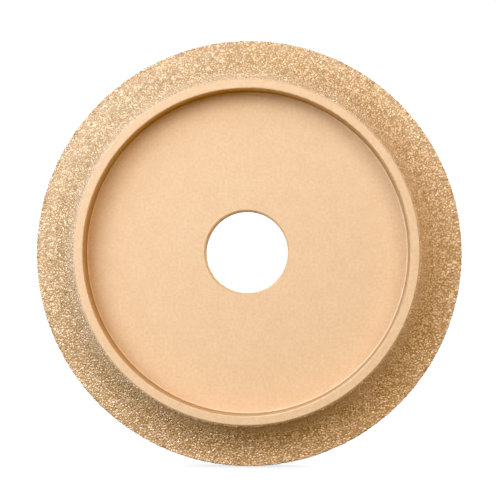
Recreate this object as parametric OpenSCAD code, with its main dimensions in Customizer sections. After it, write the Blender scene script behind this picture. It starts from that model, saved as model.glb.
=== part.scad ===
// Cove-profile diamond grinding wheel.
// A turned steel core with a recessed face, a plain rim and a concave flank.
// The flank and the outside edge carry a brazed layer of diamond grains.
// The wheel turns about Y, its front faces -Y, and its centre is the origin.

/* [Wheel] */
// Outside diameter, measured over the diamond grains
wheel_d = 106; // [104:0.5:112]
// Thickness from the front of the rim to the back face
wheel_t = 15; // [14:0.5:18]
// Diameter of the arbor bore
bore_d = 20; // [14:0.5:25.4]

/* [Core] */
// Outside diameter of the plain rim on the front
rim_d = 82.8; // [81.6:0.1:84]
// Diameter of the recess inside the plain rim
recess_d = 78.2; // [70:0.1:80]
// Depth of the front recess
recess_depth = 6.2; // [4:0.1:7]
// Diameter of the recess in the back
back_recess_d = 74; // [60:0.5:80]
// Thickness of the web between the two recesses
web_t = 4; // [3:0.1:5]

/* [Edges] */
// Radius of the rim's outer edge, where it meets the diamond layer
rim_round = 0.4; // [0.2:0.05:0.8]
// Radius of the recess mouths and of the back edge
edge_round = 0.3; // [0.1:0.05:0.6]
// Radius in the corner at the foot of each recess wall
foot_round = 0.4; // [0.2:0.05:1]
// Width of the chamfer at each end of the bore
bore_chamfer = 0.4; // [0.2:0.05:0.8]

/* [Cove] */
// Radius of the steel cove under the diamond layer
cove_r = 12; // [11.7:0.1:12.4]

/* [Diamond layer] */
// Thickness of the braze skin
braze_t = 0.25; // [0.15:0.05:0.35]
// Height of the grains above the braze
grit_t = 0.25; // [0.1:0.05:0.4]

/* [Hidden] */

$fn = 180;
slack = 1;
bore_r = bore_d / 2;
core_r = wheel_d / 2 - braze_t - grit_t;
rim_r = rim_d / 2;
recess_r = recess_d / 2;
back_recess_r = back_recess_d / 2;
front_z = wheel_t / 2;
back_z = -wheel_t / 2;
web_front_z = front_z - recess_depth;
web_back_z = web_front_z - web_t;
cove_top_z = front_z - rim_round;
cove_centre = [rim_r + cove_r, cove_top_z];
skin_back_z = back_z + edge_round;

// What a round of radius r takes off a corner at [0, 0] whose solid lies at -X and -Y.
module corner_waste(r) {
    difference() {
        translate([-r, -r]) square(r + slack);
        translate([-r, -r]) circle(r);
    }
}

// Space inside a recess: mouth on the line y = depth, floor on y = 0, foot rounded.
module recess_space(r, depth) {
    difference() {
        translate([-slack, 0]) square([r + slack, depth + slack]);
        difference() {
            translate([r - foot_round, 0]) square(foot_round);
            translate([r - foot_round, foot_round]) circle(foot_round);
        }
    }
    translate([r, depth]) mirror([1, 0]) corner_waste(edge_round);
}

// Triangle that cuts the chamfer at one end of the bore, mouth towards +Y.
module bore_chamfer_space() {
    polygon([
        [bore_r - slack, -bore_chamfer - slack],
        [bore_r - slack, slack],
        [bore_r + bore_chamfer + slack, slack],
    ]);
}

// Half section of the core, radius along X and height along Y.
module core_section() {
    difference() {
        translate([bore_r, back_z]) square([core_r - bore_r, wheel_t]);
        translate(cove_centre) circle(cove_r);
        translate([rim_r, front_z]) corner_waste(rim_round);
        translate([core_r, back_z]) mirror([0, 1]) corner_waste(edge_round);
        translate([0, web_front_z]) recess_space(recess_r, recess_depth);
        translate([0, web_back_z]) mirror([0, 1])
            recess_space(back_recess_r, web_back_z - back_z);
        translate([0, web_front_z]) bore_chamfer_space();
        translate([0, web_back_z]) mirror([0, 1]) bore_chamfer_space();
    }
}

// Half section of the flank and the outside edge with a skin of thickness t on them.
module flank_section(t) {
    difference() {
        translate([rim_r - slack, skin_back_z])
            square([core_r + t - rim_r + slack, cove_top_z - skin_back_z]);
        translate(cove_centre) circle(cove_r - t);
    }
}

// Half section of a skin between two heights above the steel.
module skin_section(inner_t, outer_t) {
    difference() {
        flank_section(outer_t);
        flank_section(inner_t);
    }
}

// Turns a half section about the wheel's axis, front towards -Y.
module turned() {
    rotate([90, 0, 0]) rotate_extrude() children();
}

module wheel_core() {
    color("#F0CD9F") turned() core_section();
}

module braze_layer() {
    color("#C89C66") turned() skin_section(0, braze_t);
}

module diamond_layer() {
    color("#DDBA90") turned() skin_section(braze_t, braze_t + grit_t);
}

wheel_core();
braze_layer();
diamond_layer();
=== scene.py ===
"""Looks of the cove-profile diamond grinding wheel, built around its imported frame.

The wheel stands on edge. It turns about Y, and its recessed front faces -Y. Lengths are in
metres. The steel core is the CAD node with a lacquer material. The braze skin and the diamond
grains replace their plain CAD rings: they follow the flank's outline, read from the frame.
"""

import itertools
import math

import bmesh
import bpy
import numpy as np
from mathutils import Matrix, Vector, noise


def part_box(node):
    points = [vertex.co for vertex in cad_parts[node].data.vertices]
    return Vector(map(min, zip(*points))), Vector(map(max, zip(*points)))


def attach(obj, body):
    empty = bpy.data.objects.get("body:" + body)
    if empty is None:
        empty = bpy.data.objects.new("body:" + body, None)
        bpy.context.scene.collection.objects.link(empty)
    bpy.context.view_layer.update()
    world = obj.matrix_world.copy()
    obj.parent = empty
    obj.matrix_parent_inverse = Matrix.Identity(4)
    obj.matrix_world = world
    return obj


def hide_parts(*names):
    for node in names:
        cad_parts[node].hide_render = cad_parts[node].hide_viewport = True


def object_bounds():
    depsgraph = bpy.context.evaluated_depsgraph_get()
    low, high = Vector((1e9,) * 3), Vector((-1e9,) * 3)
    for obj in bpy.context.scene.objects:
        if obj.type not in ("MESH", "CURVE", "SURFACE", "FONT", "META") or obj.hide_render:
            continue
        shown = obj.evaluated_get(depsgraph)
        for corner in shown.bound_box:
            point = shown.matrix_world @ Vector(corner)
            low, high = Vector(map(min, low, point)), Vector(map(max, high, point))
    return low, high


MM = 0.001
TAU = 2 * math.pi
SAME = 0.01 * MM  # two radii nearer to each other than this are one

# Outline of the flank: points on the cove, round the corner and on the outside edge
COVE_STEPS, CORNER_STEPS, EDGE_STEPS = 96, 12, 12

# Grit: sizes of the grains and how they lie
SEED = 7
GRAIN_GAP = 0.52 * MM  # least distance between two grains' centres
GRAIN_RADIUS = (0.30 * MM, 0.46 * MM)
GRAIN_STRETCH = (0.8, 1.25)
GRAIN_UNEVEN = 0.12  # how far a corner strays, as a share of the grain's radius
TIP_SPREAD = 0.10 * MM  # the tips are level on the cove, to within this
EDGE_TIP_SPREAD = 0.03 * MM  # and trued more closely on the outside edge
GRAIN_MARGIN = 0.5 * MM  # from the layer's two edges to the nearest grains' centres
DARTS_PER_MM2 = 22  # places tried for each square millimetre of flank
SECTORS = 8  # pieces that the ring of grains is split into

# Braze skin: mesh density and unevenness
BRAZE_COLUMNS = 1080
BRAZE_ROWS = 70
BRAZE_BACK_ROWS = 12
BRAZE_WAVE = 0.06 * MM
BRAZE_WAVE_SIZE = 0.7 * MM
EDGE_FILL = 0.17 * MM  # extra braze between the grains of the outside edge
EDGE_RAMP = 0.5 * MM  # length over which it builds up from the corner
FEATHER = 0.45 * MM  # length over which the skin thins out at its two edges

# Lacquer: noise scales are per metre, and a tone multiplies the colour unless a comment says more
SPECKLE_SCALE, SPECKLE_ENDS = 1500, (0.3, 0.7)
BLAST_SCALE = 2200
BLAST_DEPTH = 0.02 * MM
NOISE_DETAIL = 2
PATCH_ENDS = (0.4, 0.6)
STEEL_PATCHES = (350, (0.98, 0.97, 0.955), (1.0, 1.0, 1.0))
GRIT_PATCHES = (500, (1.0, 0.97, 1.0), (1.0, 1.0, 0.94))
WALL_SHADE_TONE = (0.50, 0.44, 0.32)  # painted shade on the recess's wall, darkest at its foot
WALL_FADE = 0.25  # share of that darkening left at the wall's mouth
FOOT_HIGHLIGHT_TONE = (1.12, 1.14, 1.18)  # painted highlight along the rounded corner at the wall's foot
GRAIN_TONES = [(0.0, (0.66, 0.62, 0.54)), (0.3, (0.95, 0.95, 0.93)), (1.0, (1.08, 1.11, 1.14))]
RIM_LIGHT_TONE = (0.94, 0.653, 0.41)  # painted light, which replaces the colour where the grit starts, beside the rim
RIM_REACH = 4.0 * MM  # width over which the colour goes back to that of the flank
BLUR = 0.02 * MM  # width of a painted border

# Camera: nearly square on, from slightly right of and below the axis
CAMERA_DISTANCE = 0.288
CAMERA_TURN, CAMERA_RISE = 2.3, -1.2  # degrees
CAMERA_AIM = (0.08 * MM, 0.68 * MM)  # X and Z of the point that it looks at
LENS, SENSOR = 83.3, 36  # millimetres
CLIP = (0.01, 10)

# Lights: degrees off the wheel's axis, degrees round it, power, colour, distance, size
SOFTBOXES = {
    "key": (55, 135, 1.84, (0.71, 1.0, 1.38), 0.55, 0.5),
    "left": (30, 160, 2.15, (0.96, 1.0, 1.00), 0.55, 0.45),
    "upper_right": (30, 50, 2.65, (1.07, 1.0, 0.89), 0.8, 0.5),
    "side": (80, 18, 1.26, (1.25, 1.0, 0.75), 0.8, 0.5),
    "back_left": (145, 150, 3.50, (0.9, 1.0, 1.15), 0.8, 0.5),
    "back_right": (150, 40, 3.00, (1.04, 1.0, 0.84), 0.8, 0.5),
}

# Surroundings and tone of the view
BLACK_LEVEL = 0.04
WHITE = 1.2  # strength of the background and floor, as the camera sees them
FLOOR_HALF = 3.0
FLOOR_TONE = (0.17, 0.14, 0.10)  # light that the floor throws back on the wheel
FLOOR_ROUGHNESS = 0.9
SHADOW = 0.75  # strength of the floor where the wheel closes it in
SHADOW_REACH = 8 * MM


# ---------------------------------------------------------------- frame

def radius_and_depth(node):
    """Distance from the axis and Y of every vertex of a CAD node."""
    co = np.array([v.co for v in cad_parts[node].data.vertices])
    return np.hypot(co[:, 0], co[:, 2]), co[:, 1]


def read_flank():
    """The steel under the skins, from front to back: a cove, then a straight outside edge."""
    radius, depth = radius_and_depth("braze_layer")
    front, back = depth.min(), depth.max()
    rim, steel = radius.min(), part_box("wheel_core")[1].x
    corner = depth[np.abs(radius - steel) < SAME].min()
    width, drop = steel - rim, corner - front
    cove = (width**2 + drop**2) / (2 * width)
    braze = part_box("braze_layer")[1].x - steel
    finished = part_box("diamond_layer")[1].x - steel
    return {"rim": rim, "steel": steel, "front": front, "corner": corner, "back": back,
            "cove": cove, "braze": braze, "finished": finished}


def read_recess():
    """The front recess: its wall's radius, where the straight wall starts and ends, its floor."""
    radius, depth = radius_and_depth("wheel_core")
    floor = depth[radius < radius.min() + MM].min()
    wall = radius[depth < (depth.min() + floor) / 2].min()
    on_wall = depth[(np.abs(radius - wall) < SAME) & (depth < floor)]
    return {"wall": wall, "start": on_wall.min(), "end": on_wall.max(), "floor": floor}


# ---------------------------------------------------------------- outline

def flank_outline(height):
    """Points along the flank at a height above the steel: radius, depth, outward direction."""
    f = flank
    end = math.asin((f["corner"] - f["front"]) / f["cove"])
    rows = []
    for t in np.linspace(0, end, COVE_STEPS + 1):
        n = (math.cos(t), -math.sin(t))
        rows.append((f["rim"] + f["cove"] * (1 - n[0]) + height * n[0],
                     f["front"] - (f["cove"] - height) * n[1], *n))
    for t in np.linspace(end, 0, CORNER_STEPS + 1)[1:]:
        n = (math.cos(t), -math.sin(t))
        rows.append((f["steel"] + height * n[0], f["corner"] + height * n[1], *n))
    for y in np.linspace(f["corner"], f["back"], EDGE_STEPS + 1)[1:]:
        rows.append((f["steel"] + height, y, 1.0, 0.0))
    return np.array(rows)


def outline_length(rows):
    """Distance along an outline to each of its points."""
    steps = np.hypot(*np.diff(rows[:, :2], axis=0).T)
    return np.concatenate(([0], np.cumsum(steps)))


def along(rows, s):
    """Points of an outline at the distances s."""
    at = outline_length(rows)
    return np.stack([np.interp(s, at, rows[:, i]) for i in range(4)], axis=1)


# ---------------------------------------------------------------- meshes

def new_piece(name, verts, faces, material, node, smooth):
    """A mesh object that rides on the wheel and replaces a CAD node."""
    mesh = bpy.data.meshes.new(name)
    mesh.from_pydata(verts, [], faces)
    mesh.polygons.foreach_set("use_smooth", [smooth] * len(mesh.polygons))
    mesh.update()
    mesh.materials.append(material)
    piece = bpy.data.objects.new(name, mesh)
    bpy.context.scene.collection.objects.link(piece)
    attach(piece, "root")
    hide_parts(node)
    return piece


def ring_faces(rings, columns):
    """Quads of a closed ring round the axis, whose section has one point for each ring."""
    faces = []
    for i in range(rings):
        a, b = i * columns, (i + 1) % rings * columns
        for j in range(columns):
            k = (j + 1) % columns
            faces.append((a + j, a + k, b + k, b + j))
    return faces


def make_braze(material):
    """Braze skin: an uneven outer surface that thins to nothing at both edges."""
    rows = flank_outline(0.0)
    total = outline_length(rows)[-1]
    places = np.linspace(0, total, BRAZE_ROWS)
    inner = along(rows, np.linspace(total, 0, BRAZE_BACK_ROWS))[1:-1]
    turns = np.arange(BRAZE_COLUMNS) * TAU / BRAZE_COLUMNS
    verts = []
    for s, (r, y, nr, ny) in zip(places, along(rows, places)):
        taper = min(1.0, s / FEATHER, (total - s) / FEATHER)
        fill = EDGE_FILL * min(1.0, max(0.0, y - flank["corner"]) / EDGE_RAMP)
        for t in turns:
            c, q = math.cos(t), math.sin(t)
            wave = noise.fractal(Vector((r * c, y, r * q)) / BRAZE_WAVE_SIZE, 1.0, 2.0, 2)
            h = taper * (flank["braze"] + fill + BRAZE_WAVE * wave)
            verts.append(((r + h * nr) * c, y + h * ny, (r + h * nr) * q))
    for r, y, nr, ny in inner:
        verts.extend((r * math.cos(t), y, r * math.sin(t)) for t in turns)
    faces = ring_faces(BRAZE_ROWS + len(inner), BRAZE_COLUMNS)
    piece = new_piece("braze_skin", verts, faces, material, "braze_layer", True)


def scatter(rng):
    """Places for the grains, as outline points and turns, no two of them nearer than GRAIN_GAP."""
    rows = flank_outline(flank["finished"])
    total = outline_length(rows)[-1]
    outside = flank["steel"] + flank["finished"]
    darts = int(DARTS_PER_MM2 * total * TAU * outside / MM**2)
    s = rng.uniform(GRAIN_MARGIN, total - GRAIN_MARGIN, darts)
    turn = rng.uniform(0, TAU, darts)
    radius = along(rows, s)[:, 0]
    columns = int(TAU * flank["rim"] / GRAIN_GAP)
    cells, taken = {}, []
    for i in np.flatnonzero(rng.uniform(0, outside, darts) < radius):
        row, column = int(s[i] / GRAIN_GAP), int(turn[i] / TAU * columns)
        around = [(row + k, (column + m) % columns) for k in (-1, 0, 1) for m in (-1, 0, 1)]
        if any(too_near(s, turn, radius, i, j) for cell in around for j in cells.get(cell, ())):
            continue
        cells.setdefault((row, column), []).append(i)
        taken.append(i)
    return along(rows, s[taken]), turn[taken]


def too_near(s, turn, radius, i, j):
    """Whether two darts lie within GRAIN_GAP of each other on the flank."""
    apart = abs(turn[i] - turn[j])
    return math.hypot(s[i] - s[j], min(apart, TAU - apart) * radius[i]) < GRAIN_GAP


def crystal():
    """A cuboctahedron, the common habit of grown diamond: its corners and triangles."""
    solid = bmesh.new()
    for corner in itertools.product((-1, 0, 1), repeat=3):
        if sum(map(abs, corner)) == 2:
            solid.verts.new(Vector(corner).normalized())
    bmesh.ops.convex_hull(solid, input=solid.verts)
    bmesh.ops.recalc_face_normals(solid, faces=solid.faces)
    bmesh.ops.triangulate(solid, faces=solid.faces)
    solid.verts.index_update()
    corners = np.array([v.co for v in solid.verts])
    triangles = np.array([[v.index for v in face.verts] for face in solid.faces])
    solid.free()
    return corners, triangles


def random_turns(rng, count):
    """Rotation matrices spread evenly over all directions."""
    q = rng.normal(size=(count, 4))
    w, x, y, z = (q / np.linalg.norm(q, axis=1, keepdims=True)).T
    return np.stack([
        1 - 2 * (y * y + z * z), 2 * (x * y - z * w), 2 * (x * z + y * w),
        2 * (x * y + z * w), 1 - 2 * (x * x + z * z), 2 * (y * z - x * w),
        2 * (x * z - y * w), 2 * (y * z + x * w), 1 - 2 * (x * x + y * y),
    ], axis=1).reshape(count, 3, 3)


def seat(rng, shape, places, turn):
    """Crystals set in the flank: no taller than the layer, their tips level at its surface."""
    radius, depth, out, back = places.T
    up = np.stack([out * np.cos(turn), back, out * np.sin(turn)], axis=1)
    foot = np.stack([radius * np.cos(turn), depth, radius * np.sin(turn)], axis=1)
    height = np.einsum("nki,ni->nk", shape, up)
    tip = np.abs(height).max(axis=1, keepdims=True)
    flat = np.minimum(1, flank["finished"] / (2 * tip))
    spread = np.where(depth > flank["corner"], EDGE_TIP_SPREAD, TIP_SPREAD)[:, None]
    drop = flat * tip + rng.uniform(0, 1, tip.shape) * spread
    lift = height * (flat - 1) - drop
    return shape + foot[:, None] + up[:, None] * lift[:, :, None]


def make_grains(material):
    """The diamond grains, one crystal each, in pieces that each hold a sector of the ring."""
    rng = np.random.default_rng(SEED)
    places, turn = scatter(rng)
    corners, triangles = crystal()
    count = len(turn)
    size = rng.uniform(*GRAIN_RADIUS, (count, 1, 1)) * rng.uniform(*GRAIN_STRETCH, (count, 1, 3))
    shape = (corners + rng.uniform(-GRAIN_UNEVEN, GRAIN_UNEVEN, (count, len(corners), 3))) * size
    shape = np.einsum("nij,nkj->nki", random_turns(rng, count), shape)
    shape = seat(rng, shape, places, turn)
    sector = (turn / TAU * SECTORS).astype(int)
    for k in range(SECTORS):
        mine = shape[sector == k]
        offsets = np.arange(len(mine))[:, None, None] * len(corners)
        piece = new_piece(f"diamond_grains_{k + 1}", mine.reshape(-1, 3).tolist(),
                          (triangles + offsets).reshape(-1, 3).tolist(), material,
                          "diamond_layer", False)


# ---------------------------------------------------------------- materials

def new_material(name):
    """A material, its node tree and its shader."""
    material = bpy.data.materials.new(name)
    material.use_nodes = True
    tree = material.node_tree
    return material, tree, tree.nodes["Principled BSDF"]


def noise_at(tree, scale):
    """Noise fixed to the object, in the frame's metres."""
    place = tree.nodes.new("ShaderNodeTexCoord")
    tex = tree.nodes.new("ShaderNodeTexNoise")
    tex.inputs["Scale"].default_value = scale
    tex.inputs["Detail"].default_value = NOISE_DETAIL
    tree.links.new(place.outputs["Object"], tex.inputs["Vector"])
    return tex.outputs["Fac"]


def ramp(tree, source, stops):
    """The colour that a value picks between stops."""
    node = tree.nodes.new("ShaderNodeValToRGB")
    while len(node.color_ramp.elements) < len(stops):
        node.color_ramp.elements.new(0.5)
    for element, (place, colour) in zip(node.color_ramp.elements, stops):
        element.position, element.color = place, (*colour, 1)
    tree.links.new(source, node.inputs["Fac"])
    return node.outputs["Color"]


def bump(tree, source, height):
    """A normal that reads a value as relief of the given height."""
    node = tree.nodes.new("ShaderNodeBump")
    node.inputs["Distance"].default_value = height
    node.inputs["Strength"].default_value = 1
    tree.links.new(source, node.inputs["Height"])
    return node.outputs["Normal"]


def place_on_wheel(tree):
    """Distance from the axis and Y of the point being shaded."""
    place, flat, reach, split = (tree.nodes.new(kind) for kind in (
        "ShaderNodeTexCoord", "ShaderNodeVectorMath", "ShaderNodeVectorMath",
        "ShaderNodeSeparateXYZ"))
    flat.operation, reach.operation = "MULTIPLY", "LENGTH"
    flat.inputs[1].default_value = (1, 0, 1)
    tree.links.new(place.outputs["Object"], flat.inputs[0])
    tree.links.new(place.outputs["Object"], split.inputs[0])
    tree.links.new(flat.outputs["Vector"], reach.inputs[0])
    return reach.outputs["Value"], split.outputs["Y"]


def fade(tree, source, start, end, low=0.0, high=1.0):
    """A value that goes from low at start to high at end, and is level beyond them."""
    node = tree.nodes.new("ShaderNodeMapRange")
    for name, value in zip(("From Min", "From Max", "To Min", "To Max"),
                           (start, end, low, high)):
        node.inputs[name].default_value = value
    tree.links.new(source, node.inputs["Value"])
    return node.outputs["Result"]


def product(tree, first, *others):
    """The product of two or more values."""
    for other in others:
        node = tree.nodes.new("ShaderNodeMath")
        node.operation = "MULTIPLY"
        tree.links.new(first, node.inputs[0])
        tree.links.new(other, node.inputs[1])
        first = node.outputs[0]
    return first


def give(tree, value, socket):
    """Sets an input to a number or a colour, or links it to an output."""
    if isinstance(value, bpy.types.NodeSocket):
        tree.links.new(value, socket)
    else:
        socket.default_value = value


def tint(material, tone, share=1, blend="MULTIPLY"):
    """Blends a tone into a material's base colour. The tone and its share may be outputs."""
    tree = material.node_tree
    base = tree.nodes["Principled BSDF"].inputs["Base Color"]
    node = tree.nodes.new("ShaderNodeMix")
    node.data_type, node.blend_type = "RGBA", blend
    tree.links.new(base.links[0].from_socket, node.inputs["A"])
    give(tree, tone if isinstance(tone, bpy.types.NodeSocket) else (*tone, 1), node.inputs["B"])
    give(tree, share, node.inputs["Factor"])
    tree.links.new(node.outputs["Result"], base)


def drift(material, scale, first, second):
    """Two tones that come and go over the surface in soft patches."""
    tree = material.node_tree
    patches = noise_at(tree, scale)
    tint(material, ramp(tree, patches, list(zip(PATCH_ENDS, (first, second)))))


def vary_grains(material):
    """A tone of its own for every grain, from bare and dark to thickly lacquered and pale."""
    tree = material.node_tree
    grain = tree.nodes.new("ShaderNodeNewGeometry").outputs["Random Per Island"]
    tint(material, ramp(tree, grain, GRAIN_TONES))


def paint_wall_shade(material):
    """Painted shade on the recess's straight wall: a darker colour, most of all towards its foot.
    """
    tree = material.node_tree
    radius, depth = place_on_wheel(tree)
    wall, start, end = recess["wall"], recess["start"], recess["end"]
    share = product(
        tree,
        fade(tree, radius, wall - 2 * BLUR, wall - BLUR),
        fade(tree, radius, flank["rim"] - BLUR, flank["rim"] - 2 * BLUR),
        fade(tree, depth, start, start + BLUR),
        fade(tree, depth, end, end - BLUR),
        fade(tree, depth, start, end, WALL_FADE, 1))
    tint(material, WALL_SHADE_TONE, share)


def paint_foot_highlight(material):
    """Painted highlight: a paler colour in the rounded corner between the recess's wall and its
    floor.
    """
    tree = material.node_tree
    radius, depth = place_on_wheel(tree)
    wall, end, floor = recess["wall"], recess["end"], recess["floor"]
    corner = floor - end
    share = product(
        tree,
        fade(tree, radius, wall - corner, wall - corner / 2),
        fade(tree, radius, wall + 2 * BLUR, wall + BLUR),
        fade(tree, depth, end, end + BLUR),
        fade(tree, depth, floor + 2 * BLUR, floor + BLUR))
    tint(material, FOOT_HIGHLIGHT_TONE, share)


def paint_start_light(material):
    """Painted light: a paler colour where the grit starts, beside the rim."""
    tree = material.node_tree
    radius, _ = place_on_wheel(tree)
    share = fade(tree, radius, flank["rim"] + RIM_REACH, flank["rim"])
    tint(material, RIM_LIGHT_TONE, share, "MIX")


def lacquer(name, dark, light, gloss, roughness=0.45, metallic=0.0):
    """Gold lacquer: two close tones in a fine speckle, over a faintly blasted surface."""
    material, tree, shader = new_material(name)
    speckle = ramp(tree, noise_at(tree, SPECKLE_SCALE), list(zip(SPECKLE_ENDS, (dark, light))))
    tree.links.new(speckle, shader.inputs["Base Color"])
    tree.links.new(bump(tree, noise_at(tree, BLAST_SCALE), BLAST_DEPTH), shader.inputs["Normal"])
    shader.inputs["Roughness"].default_value = roughness
    shader.inputs["Metallic"].default_value = metallic
    shader.inputs["IOR"].default_value = gloss
    return material


def steel_lacquer():
    """On the turned steel: even, but for painted shade on the recess's wall and a painted
    highlight in the corner at its foot.
    """
    material = lacquer("gold_lacquer", (0.81, 0.52, 0.30), (0.89, 0.58, 0.34), 1.5)
    drift(material, *STEEL_PATCHES)
    paint_wall_shade(material)
    paint_foot_highlight(material)
    return material


def braze_lacquer():
    """On the braze: its own darker colour, darkened further as painted shade in the gaps between
    the grains.
    """
    material = lacquer("gold_braze", (0.53, 0.31, 0.13), (0.60, 0.36, 0.16), 1.7)
    paint_start_light(material)
    return material


def grit_lacquer():
    """On the grains: thin and glossy over diamond, and uneven from grain to grain."""
    material = lacquer("gold_grit", (0.845, 0.585, 0.353), (0.945, 0.655, 0.416), 1.8, 0.44, 0.3)
    drift(material, *GRIT_PATCHES)
    vary_grains(material)
    paint_start_light(material)
    return material


# ---------------------------------------------------------------- stage

def make_camera():
    """A camera in front of the wheel, aimed at the plane of its outer corner."""
    turn, rise = math.radians(CAMERA_TURN), math.radians(CAMERA_RISE)
    aim = Vector((CAMERA_AIM[0], flank["corner"], CAMERA_AIM[1]))
    back = Vector((math.sin(turn) * math.cos(rise), -math.cos(turn) * math.cos(rise),
                   math.sin(rise)))
    data = bpy.data.cameras.new("camera")
    data.lens, data.sensor_width, data.sensor_fit = LENS, SENSOR, "AUTO"
    data.clip_start, data.clip_end = CLIP
    camera = bpy.data.objects.new("camera", data)
    camera.location = aim + back * CAMERA_DISTANCE
    camera.rotation_mode = "QUATERNION"
    camera.rotation_quaternion = (-back).to_track_quat("-Z", "Y")
    bpy.context.scene.collection.objects.link(camera)
    bpy.context.scene.camera = camera


def softbox(name, off_axis, clock, power, colour, distance, size):
    """A square light facing the wheel: degrees off its axis, and round it from +X towards +Z."""
    tilt, clock = math.radians(off_axis), math.radians(clock)
    away = Vector((math.sin(tilt) * math.cos(clock), -math.cos(tilt),
                   math.sin(tilt) * math.sin(clock)))
    data = bpy.data.lights.new(name, "AREA")
    data.shape, data.size, data.energy, data.color = "SQUARE", size, power, colour
    light = bpy.data.objects.new(name, data)
    light.location = away * distance
    light.rotation_mode = "QUATERNION"
    light.rotation_quaternion = away.to_track_quat("Z", "Y")
    light.visible_camera = False
    bpy.context.scene.collection.objects.link(light)


def make_world():
    """White to the camera, and no light of its own."""
    world = bpy.data.worlds.new("studio")
    world.use_nodes = True
    tree = world.node_tree
    background = tree.nodes["Background"]
    path = tree.nodes.new("ShaderNodeLightPath")
    scale = tree.nodes.new("ShaderNodeMath")
    scale.operation = "MULTIPLY"
    scale.inputs[1].default_value = WHITE
    background.inputs["Color"].default_value = (1, 1, 1, 1)
    tree.links.new(path.outputs["Is Camera Ray"], scale.inputs[0])
    tree.links.new(scale.outputs[0], background.inputs["Strength"])
    bpy.context.scene.world = world


def make_floor():
    """A pale floor under the wheel: plain white to the camera, but for a faint contact shadow."""
    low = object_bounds()[0].z
    corners = [(x * FLOOR_HALF, y * FLOOR_HALF, low) for x, y in
               ((-1, -1), (1, -1), (1, 1), (-1, 1))]
    mesh = bpy.data.meshes.new("floor")
    mesh.from_pydata(corners, [], [(0, 1, 2, 3)])
    floor = bpy.data.objects.new("floor", mesh)
    bpy.context.scene.collection.objects.link(floor)
    material, tree, shader = new_material("pale_floor")
    shader.inputs["Base Color"].default_value = (*FLOOR_TONE, 1)
    shader.inputs["Roughness"].default_value = FLOOR_ROUGHNESS
    near, path, mix, glow = (tree.nodes.new(kind) for kind in (
        "ShaderNodeAmbientOcclusion", "ShaderNodeLightPath", "ShaderNodeMixShader",
        "ShaderNodeEmission"))
    near.inputs["Distance"].default_value = SHADOW_REACH
    strength = fade(tree, near.outputs["AO"], 0, 1, SHADOW, WHITE)
    tree.links.new(strength, glow.inputs["Strength"])
    tree.links.new(path.outputs["Is Camera Ray"], mix.inputs["Fac"])
    tree.links.new(shader.outputs[0], mix.inputs[1])
    tree.links.new(glow.outputs[0], mix.inputs[2])
    tree.links.new(mix.outputs[0], tree.nodes["Material Output"].inputs["Surface"])
    mesh.materials.append(material)


def make_view():
    """A studio photograph's tone, with slightly crushed blacks."""
    view = bpy.context.scene.view_settings
    view.view_transform = "Standard"
    view.use_curve_mapping = True
    view.curve_mapping.black_level = (BLACK_LEVEL,) * 3
    view.curve_mapping.white_level = (1 + BLACK_LEVEL,) * 3


# ---------------------------------------------------------------- build

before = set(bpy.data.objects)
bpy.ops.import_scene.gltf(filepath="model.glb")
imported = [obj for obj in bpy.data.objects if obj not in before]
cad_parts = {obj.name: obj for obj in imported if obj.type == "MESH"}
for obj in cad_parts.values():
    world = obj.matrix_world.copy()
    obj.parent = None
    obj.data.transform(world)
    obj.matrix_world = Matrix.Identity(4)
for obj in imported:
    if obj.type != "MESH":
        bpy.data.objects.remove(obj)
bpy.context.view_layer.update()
flank = read_flank()
recess = read_recess()

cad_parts["wheel_core"].material_slots[0].material = steel_lacquer()
make_braze(braze_lacquer())
make_grains(grit_lacquer())

make_camera()
make_world()
make_floor()
for name, settings in SOFTBOXES.items():
    softbox(name, *settings)
make_view()
